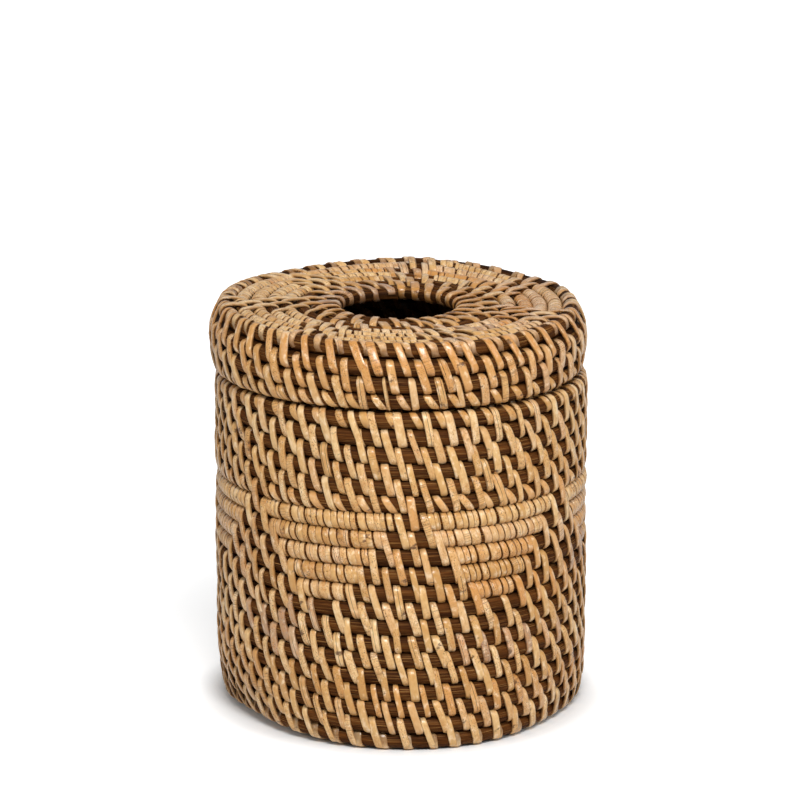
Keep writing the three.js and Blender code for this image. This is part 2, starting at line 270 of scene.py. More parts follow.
# %% Sweep rings into a mesh
def swept_mesh(name, rings, attributes):
    """rings is (stations, points, 3). attributes are {name: numbers for stations, points or both}."""
    stations, points = rings.shape[:2]
    ring, point = np.meshgrid(np.arange(stations - 1), np.arange(points), indexing="ij")
    following = (point + 1) % points
    corners = [ring * points + point, ring * points + following,
               (ring + 1) * points + following, (ring + 1) * points + point]
    faces = np.stack(corners, axis=-1).reshape(-1, 4).tolist()
    faces.append(list(range(points))[::-1])
    faces.append([(stations - 1) * points + i for i in range(points)])
    mesh = bpy.data.meshes.new(name)
    mesh.from_pydata(rings.reshape(-1, 3).tolist(), [], faces)
    mesh.polygons.foreach_set("use_smooth", [True] * len(mesh.polygons))
    for key, values in attributes.items():
        layer = mesh.attributes.new(key, "FLOAT", "POINT")
        values = np.broadcast_to(values, (stations, points))
        layer.data.foreach_set("value", np.ascontiguousarray(values, np.float32).ravel())
    mesh.validate()
    return mesh


def new_object(name, data):
    made = bpy.data.objects.new(name, data)
    bpy.context.scene.collection.objects.link(made)
    return made


def add_piece(name, mesh, material, body, replaced=()):
    """Puts a piece in the scene and says what it is to the frame."""
    piece = new_object(name, mesh)
    mesh.materials.append(material)
    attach(piece, body)
    if replaced:
        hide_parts(*replaced)


def unit(vectors):
    return vectors / np.linalg.norm(vectors, axis=-1, keepdims=True)


def length_along(path):
    """The length from a path's start to each of its points, as one column."""
    steps = np.linalg.norm(np.diff(path, axis=0), axis=1)
    return np.concatenate([[0], np.cumsum(steps)])[:, None]


print("one turn of the wall, m:", round(AROUND * wall_radius, 3))


# %% [markdown]
# ## Small helpers for materials
# A finish is a few dozen nodes, so helpers keep each of them on one line. Colours are written
# as they look on screen, in 0 to 255, and turned into the linear values that the shader wants.

# %% Node helpers
def linear(red, green, blue):
    """A colour as seen on screen, as the shader's linear values."""
    parts = [channel / 255 for channel in (red, green, blue)]
    return tuple(c / 12.92 if c <= 0.04045 else ((c + 0.055) / 1.055) ** 2.4 for c in parts) + (1,)


def node(tree, kind, inputs=None, **settings):
    """A new shader node. An input's value is a socket to link, or a number or colour to set."""
    made = tree.nodes.new("ShaderNode" + kind)
    for key, value in settings.items():
        setattr(made, key, value)
    for key, value in (inputs or {}).items():
        if isinstance(value, bpy.types.NodeSocket):
            tree.links.new(value, made.inputs[key])
        else:
            made.inputs[key].default_value = value
    return made


def attribute(tree, name):
    return node(tree, "Attribute", attribute_name=name).outputs["Fac"]


def maths(tree, operation, first, second=0.0):
    return node(tree, "Math", {0: first, 1: second}, operation=operation).outputs[0]


def times(tree, first, second):
    return maths(tree, "MULTIPLY", first, second)


def noise(tree, vector, detail=2.0, roughness=0.5):
    inputs = {"Vector": vector, "Scale": 1.0, "Detail": detail, "Roughness": roughness}
    return node(tree, "TexNoise", inputs).outputs["Fac"]


def rescale(tree, value, low, high, to_low=0.0, to_high=1.0):
    """value from low to high becomes to_low to to_high, and stays within them."""
    return node(tree, "MapRange", {"Value": value, "From Min": low, "From Max": high,
                                             "To Min": to_low, "To Max": to_high}).outputs[0]


def blend(tree, amount, first, second):
    inputs = {0: amount, 6: first, 7: second}
    return node(tree, "Mix", inputs, data_type="RGBA").outputs[2]


def tinted(tree, colour, *tints):
    """Lays (mask, low, high, most, tint) on a colour: none where mask is low, most where high."""
    for mask, low, high, most, tint in tints:
        colour = blend(tree, rescale(tree, mask, low, high, 0.0, most), colour, linear(*tint))
    return colour


def vector_of(tree, x, y, z):
    return node(tree, "CombineXYZ", {"X": x, "Y": y, "Z": z}).outputs[0]


def new_material(name):
    material = bpy.data.materials.new(name)
    material.use_nodes = True
    tree = material.node_tree
    return material, tree, tree.nodes["Principled BSDF"]


def link_surface(tree, shader, colour, roughness, relief, strength, distance):
    """Links what varies over a surface. What is the same all over is set on the shader itself."""
    bump = node(tree, "Bump", {"Height": relief, "Strength": strength, "Distance": distance})
    tree.links.new(colour, shader.inputs["Base Color"])
    tree.links.new(roughness, shader.inputs["Roughness"])
    tree.links.new(bump.outputs[0], shader.inputs["Normal"])


print("mid grey, linear:", round(linear(128, 128, 128)[0], 3))


# %% [markdown]
# ## The dark cane
# Rattan cane is a bundle of straight fibres, so it has fine lines along it, a few of them pale where
# the skin has come off, and slow changes from umber to reddish brown. Noise that is stretched along
# the cane gives all three. Its place comes from the angle round the cane and the length along it,
# which the mesh carries, so the lines follow the coil and have no seam. One more tint darkens the
# cane where it faces up or down, into the gap between two turns: painted shade, with some dust.

# %% Material of the cane
LINES_ROUND = 7.0
LINE_LENGTH = 16 * MM
PATCH_LENGTH = 45 * MM
THIN_LINES_ROUND = 2.6 * LINES_ROUND
THIN_LINE_LENGTH = 1.3 * LINE_LENGTH


def cane_material(name, dark, middle, light, streak):
    material, tree, shader = new_material(name)
    across, over, along = (attribute(tree, key) for key in ("round_x", "round_y", "along"))

    def place(lines_round, length):
        return vector_of(tree, times(tree, across, lines_round), times(tree, over, lines_round),
                         times(tree, along, 1 / length))

    fibres = noise(tree, place(LINES_ROUND, LINE_LENGTH), detail=4.0, roughness=0.7)
    patches = noise(tree, place(1.0, PATCH_LENGTH))
    thin = noise(tree, place(THIN_LINES_ROUND, THIN_LINE_LENGTH), detail=1.0)
    colour = tinted(
        tree, linear(*dark),
        (fibres, 0.36, 0.6, 1.0, middle),
        (patches, 0.45, 0.25, 0.55, (52, 24, 6)),
        (patches, 0.45, 0.7, 0.6, light),
        (thin, 0.61, 0.7, 0.8, streak),
        (thin, 0.4, 0.3, 0.8, dark),
        # painted shade, with some dust, where the cane faces into the gap between two turns
        (maths(tree, "ABSOLUTE", over), 0.72, 1.0, 0.75, (20, 6, 0)))
    shader.inputs["Specular IOR Level"].default_value = 0.08
    roughness = rescale(tree, fibres, 0.3, 0.7, 0.75, 0.55)
    relief = maths(tree, "ADD", fibres, times(tree, thin, 0.6))
    link_surface(tree, shader, colour, roughness, relief, 0.55, 0.25 * MM)
    return material


dark_cane = cane_material("dark_cane", (34, 10, 0), (90, 50, 15), (116, 68, 26), (184, 134, 76))
collar_cane = cane_material("collar_cane", (58, 34, 18), (100, 68, 42), (122, 82, 52), (172, 130, 86))
print("cane finishes:", dark_cane.name, collar_cane.name)

# %% [markdown]
# ## Winding the canes
# The cane is a round section swept along the coil. It isn't quite round: it was rolled and dried, so
# its radius changes a little along it, and it is pressed against its neighbours until they meet. The
# two ends are pared thin, which is how a weaver brings the spiral back to a level rim.

# %% Cane of the basket and of the lid
CANE_SIDES = 16
CANE_STATIONS = 120
SWELL = 0.012
PARED_NARROWER = 0.4
BASE_START = 0.15
HOLE_START = 0.0
PARED_END = 0.06


def cane_mesh(name, coil, start, end, seed):
    s = np.linspace(start, end, int((end - start) * CANE_STATIONS))
    centre = coil.centre(s)
    ahead = coil.centre(s + 1)
    stack = unit(np.where((s < coil.turns - 1)[:, None], ahead - centre, centre - coil.centre(s - 1)))
    out = np.stack([stack[:, 1], -stack[:, 0]], axis=-1)
    angle = np.linspace(0, AROUND, CANE_SIDES, endpoint=False)
    swell = 1 + wander(seed, SWELL)(s)
    radius = (coil.thickness(s) * swell)[:, None]
    flat = coil.flat(s)[:, None]
    direction = out[:, None] * np.cos(angle)[:, None] + stack[:, None] * np.sin(angle)[:, None]
    radius = radius * coil.bulge(s, direction, is_cane=True)
    spread = (1 - PARED_NARROWER * (1 - flat)) * radius * np.cos(angle)
    rise = flat * radius * np.sin(angle)
    section = [centre[:, None, i] + out[:, None, i] * spread + stack[:, None, i] * rise for i in (0, 1)]
    rings = turn_to_space(s[:, None], *section)
    rings[..., 0] += coil.aside
    middle = turn_to_space(s, *centre.T)
    return swept_mesh(name, rings, {
        "round_x": np.cos(angle), "round_y": np.sin(angle), "along": length_along(middle)})


basket_mesh = cane_mesh("basket_cane", basket, BASE_START, BASKET_TURNS + PARED_END, 5)
add_piece("basket_cane", basket_mesh, dark_cane, "basket", ["base_coil", "wall_coil"])
lid_mesh = cane_mesh("lid_cane", lid, HOLE_START, LID_ROWS + PARED_END, 6)
add_piece("lid_cane", lid_mesh, dark_cane, "lid", ["lid_top_coil", "lid_skirt_coil"])

# %% [markdown]
# ## The peel's finish
# Peel is the outer skin of the rattan, split into strips: pale straw to honey, semi-gloss, with faint
# fibres along it, brown scars where a leaf grew, specks, and now and then a split. Each stitch is
# turned a little differently and has its own tone, so the tone is a number that the mesh carries,
# and the rest is noise in the strip's own length and width. An image could hold all this, but it
# would have to be unwrapped along every strand. Painted shade darkens the strip's edges, whose cut
# sides are darker too, and the places where it dips between two turns, which lets each stitch be
# read from afar.

# %% Material of the peel
SPLIT_SPACING = 1.8 * MM
SPLIT_SHIFT = 7.3
PEEL_NUMBERS = ("along", "across", "tone", "warmth", "seed", "edge", "gap_shade")


def peel_material():
    material, tree, shader = new_material("light_peel")
    along, across, tone, warmth, seed, edge, gap_shade = (attribute(tree, key) for key in PEEL_NUMBERS)

    def place(length, width):
        """Noise cells of this length along the strip and width across it, in metres."""
        return vector_of(tree, times(tree, along, 1 / length), times(tree, across, 1 / width), seed)

    fibres = noise(tree, place(9 * MM, 0.22 * MM))
    blotches = noise(tree, place(3.2 * MM, 2.4 * MM), detail=3.0)
    colour = tinted(
        tree, linear(200, 148, 80),
        (tone, 0.0, 0.55, 1.0, (228, 182, 116)),
        (tone, 0.5, 1.0, 1.0, (244, 208, 152)),
        (warmth, 0.34, 0.14, 0.6, (232, 190, 156)),
        (warmth, 0.65, 1.0, 0.85, (217, 148, 74)),
        (warmth, 0.06, 0.0, 0.8, (156, 126, 108)),
        (fibres, 0.35, 0.65, 0.45, (203, 158, 104)),
        (blotches, 0.5, 0.68, 0.55, (204, 146, 78)),
        (blotches, 0.46, 0.28, 0.8, (250, 222, 182)))

    crowd = noise(tree, place(30 * MM, 60 * MM))
    amber = noise(tree, place(1.1 * MM, 0.6 * MM))
    mottled = times(tree, rescale(tree, amber, 0.5, 0.66, 0.0, 0.6), rescale(tree, crowd, 0.4, 0.52))
    colour = blend(tree, mottled, colour, linear(196, 126, 58))
    specks = noise(tree, place(0.55 * MM, 0.4 * MM), detail=1.0)
    specked = times(tree, rescale(tree, specks, 0.63, 0.7), rescale(tree, crowd, 0.46, 0.56))
    colour = blend(tree, specked, colour, linear(104, 60, 30))
    scars = noise(tree, place(5.5 * MM, 9 * MM), detail=4.0, roughness=0.65)
    colour = tinted(tree, colour, (scars, 0.635, 0.69, 0.85, (84, 48, 24)))
    cracks = noise(tree, place(0.34 * MM, 20 * MM), detail=0.0)
    cracked = times(tree, rescale(tree, cracks, 0.55, 0.68, 0.0, 0.6), rescale(tree, seed, 1.0, 0.9))
    colour = blend(tree, cracked, colour, linear(146, 98, 54))

    shift = times(tree, seed, SPLIT_SHIFT)
    line_place = maths(tree, "ADD", times(tree, across, 1 / SPLIT_SPACING), shift)
    from_line = maths(tree, "ABSOLUTE", maths(tree, "SUBTRACT", maths(tree, "FRACT", line_place), 0.5))
    comes_and_goes = rescale(tree, noise(tree, place(14 * MM, 0.8 * MM)), 0.4, 0.5)
    is_split = rescale(tree, seed, 7.2, 7.3)
    split = times(tree, rescale(tree, from_line, 0.04, 0.09, 1.0, 0.0), is_split)
    split = times(tree, split, comes_and_goes)
    colour = blend(tree, times(tree, split, 0.85), colour, linear(74, 42, 20))
    # painted shade over the strip's edges, whose cut sides are also darker, and where it dips into a
    # gap
    colour = tinted(
        tree, colour,
        (edge, 0.78, 1.0, 0.58, (128, 80, 34)),
        (gap_shade, 0.0, 1.0, 0.62, (92, 52, 16)))

    shader.inputs["Specular IOR Level"].default_value = 0.3
    shader.inputs["Coat Weight"].default_value = 0.38
    shader.inputs["Coat Roughness"].default_value = 0.2
    roughness = rescale(tree, blotches, 0.3, 0.7, 0.26, 0.46)
    relief = maths(tree, "SUBTRACT", times(tree, fibres, 0.6), split)
    link_surface(tree, shader, colour, roughness, relief, 0.4, 0.15 * MM)
    return material


light_peel = peel_material()
print("peel finish:", len(light_peel.node_tree.nodes), "nodes")

# %% [markdown]
# ## Leading a strand of peel
# A stitch is a loop round two turns of cane: over both of them outside, and back up inside to where
# the next stitch begins. A close winding is the same loop round one turn. So a stitch is described
# by the turn that it starts on and the turn that it ends on, and one walk makes every kind. The
# angles below go round a cane: 90 is the gap where a stitch comes out, 0 faces the viewer, and -90
# is the gap where it goes back in. Stiff peel crosses the gap between in a low arch.

# %% The walk of one stitch
OLD, NEW = 0, 1
ROUND_OUTSIDE = np.linspace(90, -90, 9)
ROUND_INSIDE = (-125.0, -165.0, -195.0, -235.0)
INSIDE_SHARES = (0.06, 0.34, 0.66, 0.94)
BRIDGE = (0.33, 0.67)
ARCH = 0.45 * MM
ARCH_AT_CANE = 0.4
CROSSING = 2.1


def stitch_stations(start, end, following):
    """Rows of [how far towards NEW, angle, share of the lean, share of the way to the next, lift]."""
    half = len(ROUND_OUTSIDE) // 2
    apart = CROSSING if start != end else 0.0
    height = 2 + apart
    arch = ARCH if start != end else 0.0
    rows = []

    def go_round(cane, angles, from_top):
        for angle in angles:
            drop = from_top - math.sin(math.radians(angle))
            lift = ARCH_AT_CANE * arch * math.cos(math.radians(angle))
            rows.append([cane, angle, drop / height, 0, lift])

    go_round(start, ROUND_OUTSIDE[:half + 1], 1)
    if start != end:
        for share in BRIDGE:
            rows.append([start + (end - start) * share, 0, (1 + share * apart) / height, 0, arch])
        go_round(end, [0], 1 + apart)
    go_round(end, ROUND_OUTSIDE[half + 1:], 1 + apart)
    for i, angle in enumerate(ROUND_INSIDE):
        rows.append([end if i < 2 else following, angle, 1, INSIDE_SHARES[i], 0])
    return np.array(rows, float)


print("stations in a long stitch:", len(stitch_stations(NEW, OLD, NEW)))

# %% [markdown]
# The strip itself has a flat back and a slightly crowned face with rounded edges. Nine points draw
# that section. The strand is then a list of stitches, and each stitch brings its own place, lean,
# width, tone and twist, a little different every time, because it was pulled tight by hand. Width
# and twist ease into the next stitch's inside the basket, and tone, warmth and seed change there.

# %% A stitch, and the stations of a strand
STRIP_WIDTH = 3.25 * MM
STRIP_THICKNESS = 0.38 * MM
TWIST_SPREAD = 4.5
LIFT_SPREAD = 0.05
HIGHEST_SEED = 8
EASED = ("width", "twist")
PICKED = ("tone", "warmth", "seed")


class Stitch:
    """One stitch: where it comes out, in turns, the canes that it goes round and how it lies."""

    def __init__(self, s, start, end, lean, width=STRIP_WIDTH):
        self.s = s
        self.start = start
        self.end = end
        self.lean = lean
        self.width = width
        self.tone = self.warmth = 0.5
        self.twist = random.normal(0, TWIST_SPREAD)
        self.lift = abs(random.normal(0, LIFT_SPREAD)) * MM
        self.seed = random.uniform(0, HIGHEST_SEED)


def strand_stations(coil, stitches):
    """Nine numbers for each station of a strand. The last stitch only ends the strand."""
    columns = []
    for here, there in zip(stitches[:-1], stitches[1:]):
        walk = stitch_stations(here.start, here.end, there.start)
        lean = here.lean / (AROUND * coil.radius_at(here.s - 0.5))
        rest = there.s - here.s - lean
        inside = walk[:, 3]
        s = here.s + lean * walk[:, 2] + rest * inside
        pairs = [(getattr(here, key), getattr(there, key)) for key in EASED + PICKED]
        eased = [a + (b - a) * inside for a, b in pairs[:len(EASED)]]
        picked = [np.where(inside < 0.5, a, b) for a, b in pairs[len(EASED):]]
        columns.append(np.stack([s, walk[:, 0], walk[:, 1], *eased, here.lift + walk[:, 4], *picked]))
    return np.concatenate(columns, axis=1)


print("strip, mm:", round(STRIP_WIDTH / MM, 2), "wide,", round(STRIP_THICKNESS / MM, 2), "thick")

# %% [markdown]
# Between two canes the strip's place and facing are mixed, so that it goes over without a kink. In a
# gap it is squeezed a little narrower, and nothing goes below the floor.

# %% Sweep a strand
STRIP_SECTION = np.array([(-1, -0.3), (-1, 0.4), (-0.88, 0.78), (-0.45, 1.0), (0, 1.08),
                          (0.45, 1.0), (0.88, 0.78), (1, 0.4), (1, -0.3)])
SUNK_FROM = 48
SQUEEZED_BY = 0.12
SQUEEZED_WITHIN = 30


def strand_mesh(name, coil, stitches, newest_first, thickness):
    """Sweeps a strand round turns s and s - 1 of a coil."""
    s, side, angle, width, twist, lift, tone, warmth, seed = strand_stations(coil, stitches)
    new, old = coil.centre(s), coil.centre(s - 1)
    first, second = (new, old) if newest_first else (old, new)
    down = unit(second - first)
    out = np.stack([-down[:, 1], down[:, 0]], axis=-1)
    radians = np.radians(angle)
    middle = old + (new - old) * side[:, None]
    direction = out * np.cos(radians)[:, None] - down * np.sin(radians)[:, None]

    def mixed(of):
        """of(s) of the newer turn and of the older one, mixed by side."""
        return of(s) * side + of(s - 1) * (1 - side)

    flat = mixed(coil.flat)
    bulge = mixed(lambda place: coil.bulge(place, direction[:, None, :], False)[:, 0])
    narrow = 1 - PARED_NARROWER * (1 - flat)
    reach = ((mixed(coil.thickness) + lift) * bulge)[:, None] * (
        out * (narrow * np.cos(radians))[:, None] - down * (flat * np.sin(radians))[:, None])
    path = turn_to_space(s, *(middle + reach).T)
    azimuth = math.pi + AROUND * s
    normal = np.stack([direction[:, 0] * np.sin(azimuth), -direction[:, 0] * np.cos(azimuth),
                       direction[:, 1]], axis=-1)
    tangent = unit(np.gradient(path, axis=0))
    normal = unit(normal - tangent * (normal * tangent).sum(axis=1, keepdims=True))
    across = np.cross(tangent, normal)
    roll = np.radians(twist)[:, None]
    face = normal * np.cos(roll) + across * np.sin(roll)
    side_way = across * np.cos(roll) - normal * np.sin(roll)

    squeeze = 1 - SQUEEZED_BY * (np.abs(np.abs(angle) - 90) < SQUEEZED_WITHIN)
    half = (width * squeeze / 2)[:, None, None]
    u, v = STRIP_SECTION[:, 0], STRIP_SECTION[:, 1]
    below = np.where(v < 0, lift[:, None], 0)[:, :, None]
    rings = (path[:, None] + side_way[:, None] * half * u[:, None]
             + face[:, None] * (thickness * v[:, None] - below))
    rings[..., 0] += coil.aside
    rings[..., 2] = np.maximum(rings[..., 2], 0)
    # how far the strip has dipped into a gap, which the finish darkens there as painted shade
    gap_shade = np.clip((np.abs(angle) - SUNK_FROM) / (90 - SUNK_FROM), 0, 1)
    return swept_mesh(name, rings, {
        "along": length_along(path), "across": half[:, :, 0] * u, "edge": np.maximum(np.abs(u), 1 - v),
        "tone": tone[:, None], "warmth": warmth[:, None], "seed": seed[:, None],
        "gap_shade": gap_shade[:, None]})


def add_strand(name, coil, stitches, body, newest_first=True, replaced=(), thickness=STRIP_THICKNESS):
    mesh = strand_mesh(name, coil, stitches, newest_first, thickness)
    add_piece(name, mesh, light_peel, body, replaced)
    print(name, len(stitches), "stitches,", len(mesh.polygons), "faces")


def add_bands(bands, coil, stitches, body, newest_first):
    """Cuts a long strand into bands: (name, first row, row after the last, nodes replaced)."""
    for name, low, high, replaced in bands:
        inside = [i for i, stitch in enumerate(stitches) if low <= stitch.s < high]
        add_strand(name, coil, stitches[inside[0]:inside[-1] + 2], body, newest_first, replaced)


# %% [markdown]
# ## Where the wall's stitches go
# Forty-six and a half stitches go to a turn, so each row's stitches fall half way between those of
# the row below, like bricks. Seven times round the wall the weaver stops stitching and winds the
# peel close round the upper turn. Going down, each row leaves half a stitch more open at both
# sides, and that makes the trapezoids. Between two figures the stitches go on as before.

# %% Kinds of stitch
LONG_LEAN = 3.7 * MM
SHORT_LEAN = 4.4 * MM
LONG_PLACES, LONG_LEANS, LONG_WIDTHS = 0.001, 0.6, 0.28
SHORT_PLACES, SHORT_LEANS, SHORT_WIDTHS = 0.0006, 0.4, 0.2
WRAP_WIDTH = 3.15 * MM
WRAP_WIDTHS = 0.16
WRAP_LIMITS = (-0.4, 0.3)
WRAP_GAP, WRAP_GAPS = 0.26, 0.12
WRAP_TWIST = 0.4

lean_wave = wander(31, 0.75 * MM)


def long_stitch(s, newest_first=True, width=STRIP_WIDTH):
    """A stitch over two turns. It strays in turns, and in millimetres of lean and width."""
    start, end = (NEW, OLD) if newest_first else (OLD, NEW)
    lean = LONG_LEAN + lean_wave(s) + random.normal(0, LONG_LEANS) * MM
    return Stitch(s + random.normal(0, LONG_PLACES), start, end, lean,
                  width + random.normal(0, LONG_WIDTHS) * MM)


def short_stitch(s, side, lean=SHORT_LEAN):
    """A stitch over one turn."""
    return Stitch(s + random.normal(0, SHORT_PLACES), side, side,
                  lean + random.normal(0, SHORT_LEANS) * MM,
                  STRIP_WIDTH + random.normal(0, SHORT_WIDTHS) * MM)


def winding(start, end, radius, side):
    """Close turns of peel between two stitches, each of its own width, leaning by half of it."""
    span = (end - start) * AROUND * radius
    count = max(int(round(span / WRAP_WIDTH)), 2)
    widths = 1 + np.clip(random.normal(0, WRAP_WIDTHS, count), *WRAP_LIMITS)
    widths *= span / widths.sum()
    places = start + np.cumsum(widths)[:-1] / (AROUND * radius)
    gaps = (WRAP_GAP + abs(random.normal(0, WRAP_GAPS, count))) * MM
    turns = [Stitch(s, side, side, width * 0.5, width - gap)
             for s, width, gap in zip(places, widths, gaps)]
    for turn in turns:
        turn.twist *= WRAP_TWIST
    return turns


def with_windings(places, is_wound, make, radius_at):
    """Stitches at the places, where runs that are wound become close turns round the newest turn."""
    made, skipped = [], False
    for place in places:
        if is_wound(place):
            skipped = True
            continue
        if skipped and made:
            made += winding(made[-1].s, place, radius_at(place), NEW)
        made.append(make(place))
        skipped = False
    return made


print("close turns in 20 mm:", round(20 * MM / WRAP_WIDTH, 1))

# %% [markdown]
# A strip of peel is a few metres long, so a few dozen stitches in a row come from one strip and
# share its colour. Colouring each stitch alone would look like confetti. Most strips are straw, some
# are warm and a few have greyed, and a few runs are set where the photograph shows such a strip.

# %% Strips of peel
STRIP_LASTS = (14, 40)
TONES = (2.4, 1.8)
WARMEST_STRAW = 0.62
WARM_FROM = 0.72
GREY_LOT = 0.97
GREY_LASTS = 6
WARM_SHARE = 0.1
TONE_STRAYS, WARMTH_STRAYS, RUN_STRAYS = 0.14, 0.06, 0.04


def dress(stitches, coolest=0.2, runs=()):
    """Gives the stitches tone and warmth, strip by strip. runs are (start, end, warmth)."""
    left = 0
    for stitch in stitches:
        if left == 0:
            left = int(random.integers(*STRIP_LASTS))
            tone, lot = random.beta(*TONES), random.random()
            warmth = random.uniform(coolest, WARMEST_STRAW)
            if lot < WARM_SHARE:
                warmth = random.uniform(WARM_FROM, 1)
            elif lot > GREY_LOT:
                warmth, left = 0.0, GREY_LASTS
        stitch.tone = tone + random.normal(0, TONE_STRAYS)
        stitch.warmth = max(warmth + random.normal(0, WARMTH_STRAYS), 0)
        left -= 1
        for start, end, own in runs:
            if start < stitch.s < end:
                stitch.warmth = own + random.uniform(0, RUN_STRAYS)
    return stitches


print("a strip lasts, in stitches:", STRIP_LASTS)

# %% Stitches of the wall
WALL_STITCHES = 46.5
LAST_STITCH = 0.05
SEAM_MARGIN = 0.02
FIGURES = 7
GAP_MIDDLE = 2.5 / 360
GREYED_RUNS = [(FOOT_ROW + row, FOOT_ROW + row + 0.05, 0.0) for row in (6.36, 7.34, 8.38)]


def from_gap(s, gap_middle):
    """How far s lies from the middle of the nearest gap between two figures, in turns."""
    part = 1 / FIGURES
    return abs((s - 0.5 - gap_middle + part / 2) % part - part / 2)


def wall_is_open(s):
    """Whether s lies among the stitches between two figures, and not in a figure."""
    row = int(s)
    reach = 1.0
    if FIRST_FIGURE_ROW <= row <= TOP_FIGURE_ROW:
        reach = (2 + TOP_FIGURE_ROW - row) / 2 / WALL_STITCHES
    if row == TOP_FIGURE_ROW + 1:
        reach = 0.5 / WALL_STITCHES
    return from_gap(s, GAP_MIDDLE) < reach


def wall_stitch(s):
    return long_stitch(s) if wall_is_open(s) else short_stitch(s, NEW)


phase = ((TOP_FIGURE_ROW + 0.5 + GAP_MIDDLE - 0.5 / WALL_STITCHES) * WALL_STITCHES) % 1
first_index = math.ceil((FOOT_ROW + SEAM_MARGIN) * WALL_STITCHES)
last_index = int((BASKET_TURNS + LAST_STITCH) * WALL_STITCHES) + 2
wall_places = [(n + phase) / WALL_STITCHES for n in range(first_index, last_index)]
outer_radius = wall_radius + CANE + STRIP_THICKNESS / 2
wall_stitches = with_windings(
    wall_places, lambda s: not wall_is_open(s) and int(s) != TOP_FIGURE_ROW + 1,
    wall_stitch, lambda s: outer_radius)
dress(wall_stitches, runs=GREYED_RUNS)
print("wall:", len(wall_stitches), "stitches and close turns")

# %% Strands of the wall
figure_nodes = [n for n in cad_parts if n.startswith("wall_figure")]
BANDS = [("wall_lashing_foot", FOOT_ROW, FOOT_ROW + 3, ()),
         ("wall_lashing_low", FOOT_ROW + 3, FIRST_FIGURE_ROW, ()),
         ("wall_lashing_figures", FIRST_FIGURE_ROW, TOP_FIGURE_ROW + 1, figure_nodes),
         ("wall_lashing_high", TOP_FIGURE_ROW + 1, BASKET_TURNS + 1, ())]
add_bands(BANDS, basket, wall_stitches, "basket", newest_first=True)

# %% [markdown]
# ## The base
# The base grows from its middle, so the number of stitches in a turn grows too, and they can't keep
# to a fixed pattern. The weaver sets each stitch about the usual distance from the last one and
# pushes it aside if it would land on a stitch of the next turn. The same rule, as a walk along the
# coil, gives the slightly restless look of a real base. It starts from the foot, whose stitches are
# placed already, and walks inwards.

# %% Stitches that keep clear of their neighbours
CLEAR = 3.6 * MM
BASE_STEP = 9.6 * MM
TIGHTEST = 4 * MM
STRAIGHTER_WITHIN = 30 * MM


def clear_places(coil, start, end, step_at, neighbours, shift):
    """Walks from start to end. neighbours are one turn behind, and lie shift metres further on."""
    way = 1 if end > start else -1
    taken = sorted(place + way for place in neighbours)
    places, s = [], start
    while (end - s) * way > 0:
        around = AROUND * max(coil.radius_at(s), TIGHTEST)
        clear = CLEAR / around
        near = [t for t in (place + shift / around for place in taken) if abs(t - s) < clear]
        if near:
            nearest = min(near, key=lambda t: abs(t - s))
            before, after = nearest - way * clear, nearest + way * clear
            fits = not places or (before - places[-1]) * way > clear
            s = before if (nearest - s) * way > 0 and fits else after
        places.append(s)
        taken.append(s + way)
        s += way * step_at(s) / around
    return sorted(places)


foot_places = [place for place in wall_places if place < FOOT_ROW + 1]
base_places = clear_places(basket, FOOT_ROW, 1.0, lambda s: BASE_STEP, foot_places, LONG_LEAN / 2)


def base_stitch(s):
    stitch = long_stitch(s)
    stitch.lean *= min(1, basket.radius_at(s) / STRAIGHTER_WITHIN)
    return stitch


base_stitches = dress([base_stitch(s) for s in base_places]) + wall_stitches[:1]
add_strand("base_lashing", basket, base_stitches, "basket")

# %% [markdown]
# ## The mouth
# The top turn has nothing above it, so half of its places would stay bare. A second strand fills
# them with short stitches over that one turn, which also hides the end of the cane.

# %% Strand of the mouth
BESIDE = 4.1 * MM
MOUTH_LEAN = 3.4 * MM

around_mouth = AROUND * outer_radius
top_places = [s for s in wall_places if -1 < s - BASKET_TURNS - LAST_STITCH < 0]
mouth_places = [s - BESIDE / around_mouth for s in top_places]
mouth_stitches = dress([short_stitch(s, NEW, MOUTH_LEAN) for s in mouth_places])
add_strand("mouth_lashing", basket, mouth_stitches, "basket")

# %% [markdown]
# ## The lid
# The lid is sewn from the hole outwards and then down the skirt, with each stitch over the newest
# turn and the one before it. Seven fields of four turns are wound close. They are widest near the
# edge and narrow towards the hole, and over the widest one the edge turn has short stitches, so that
# the field isn't crossed. Two warm strips and one frayed stitch at the front are the photograph's.

# %% Stitches of the lid
LID_GAP_MIDDLE = 17.7 / 360
LID_FIGURE_ROWS = range(3, 7)
LID_GAP_HALF = 8.2 / 360
LID_GAP_GROWS = 3.2 / 360
LID_STRIP_WIDTH = 3.5 * MM
RIM_EXTRA_LEAN = 1.2 * MM
HOLE_STITCHES = 23
SKIRT_STITCHES = 45.5
WARM_RUNS = [(RIM_ROW + 1.4, RIM_ROW + 1.72, 0.96), (RIM_ROW + 2.43, RIM_ROW + 2.66, 0.86)]
FRAYED_PLACE = LID_ROWS - 1 + 0.4855
FRAYED_WIDTH = 1.5 * MM
FRAYED_TWIST = 28


def lid_stitches_per_turn(s):
    """More stitches with every ring, up to the edge, and then the same down the skirt."""
    share = (s - 1) / (RIM_ROW - 0.5)
    return HOLE_STITCHES + (SKIRT_STITCHES - HOLE_STITCHES) * min(share, 1)


def lid_step(s):
    return AROUND * lid.radius_at(s) / lid_stitches_per_turn(s)


def lid_row_wound(s, row):
    half = LID_GAP_HALF + LID_GAP_GROWS * (LID_FIGURE_ROWS[-1] - row)
    return row in LID_FIGURE_ROWS and from_gap(s, LID_GAP_MIDDLE) > half


def lid_stitch(s):
    row = int(s)
    if row == RIM_ROW and lid_row_wound(s, row - 1):
        return short_stitch(s, NEW)
    width = LID_STRIP_WIDTH if row >= RIM_ROW else STRIP_WIDTH
    stitch = long_stitch(s, newest_first=False, width=width)
    stitch.lean += RIM_EXTRA_LEAN if row == RIM_ROW + 1 else 0
    return stitch


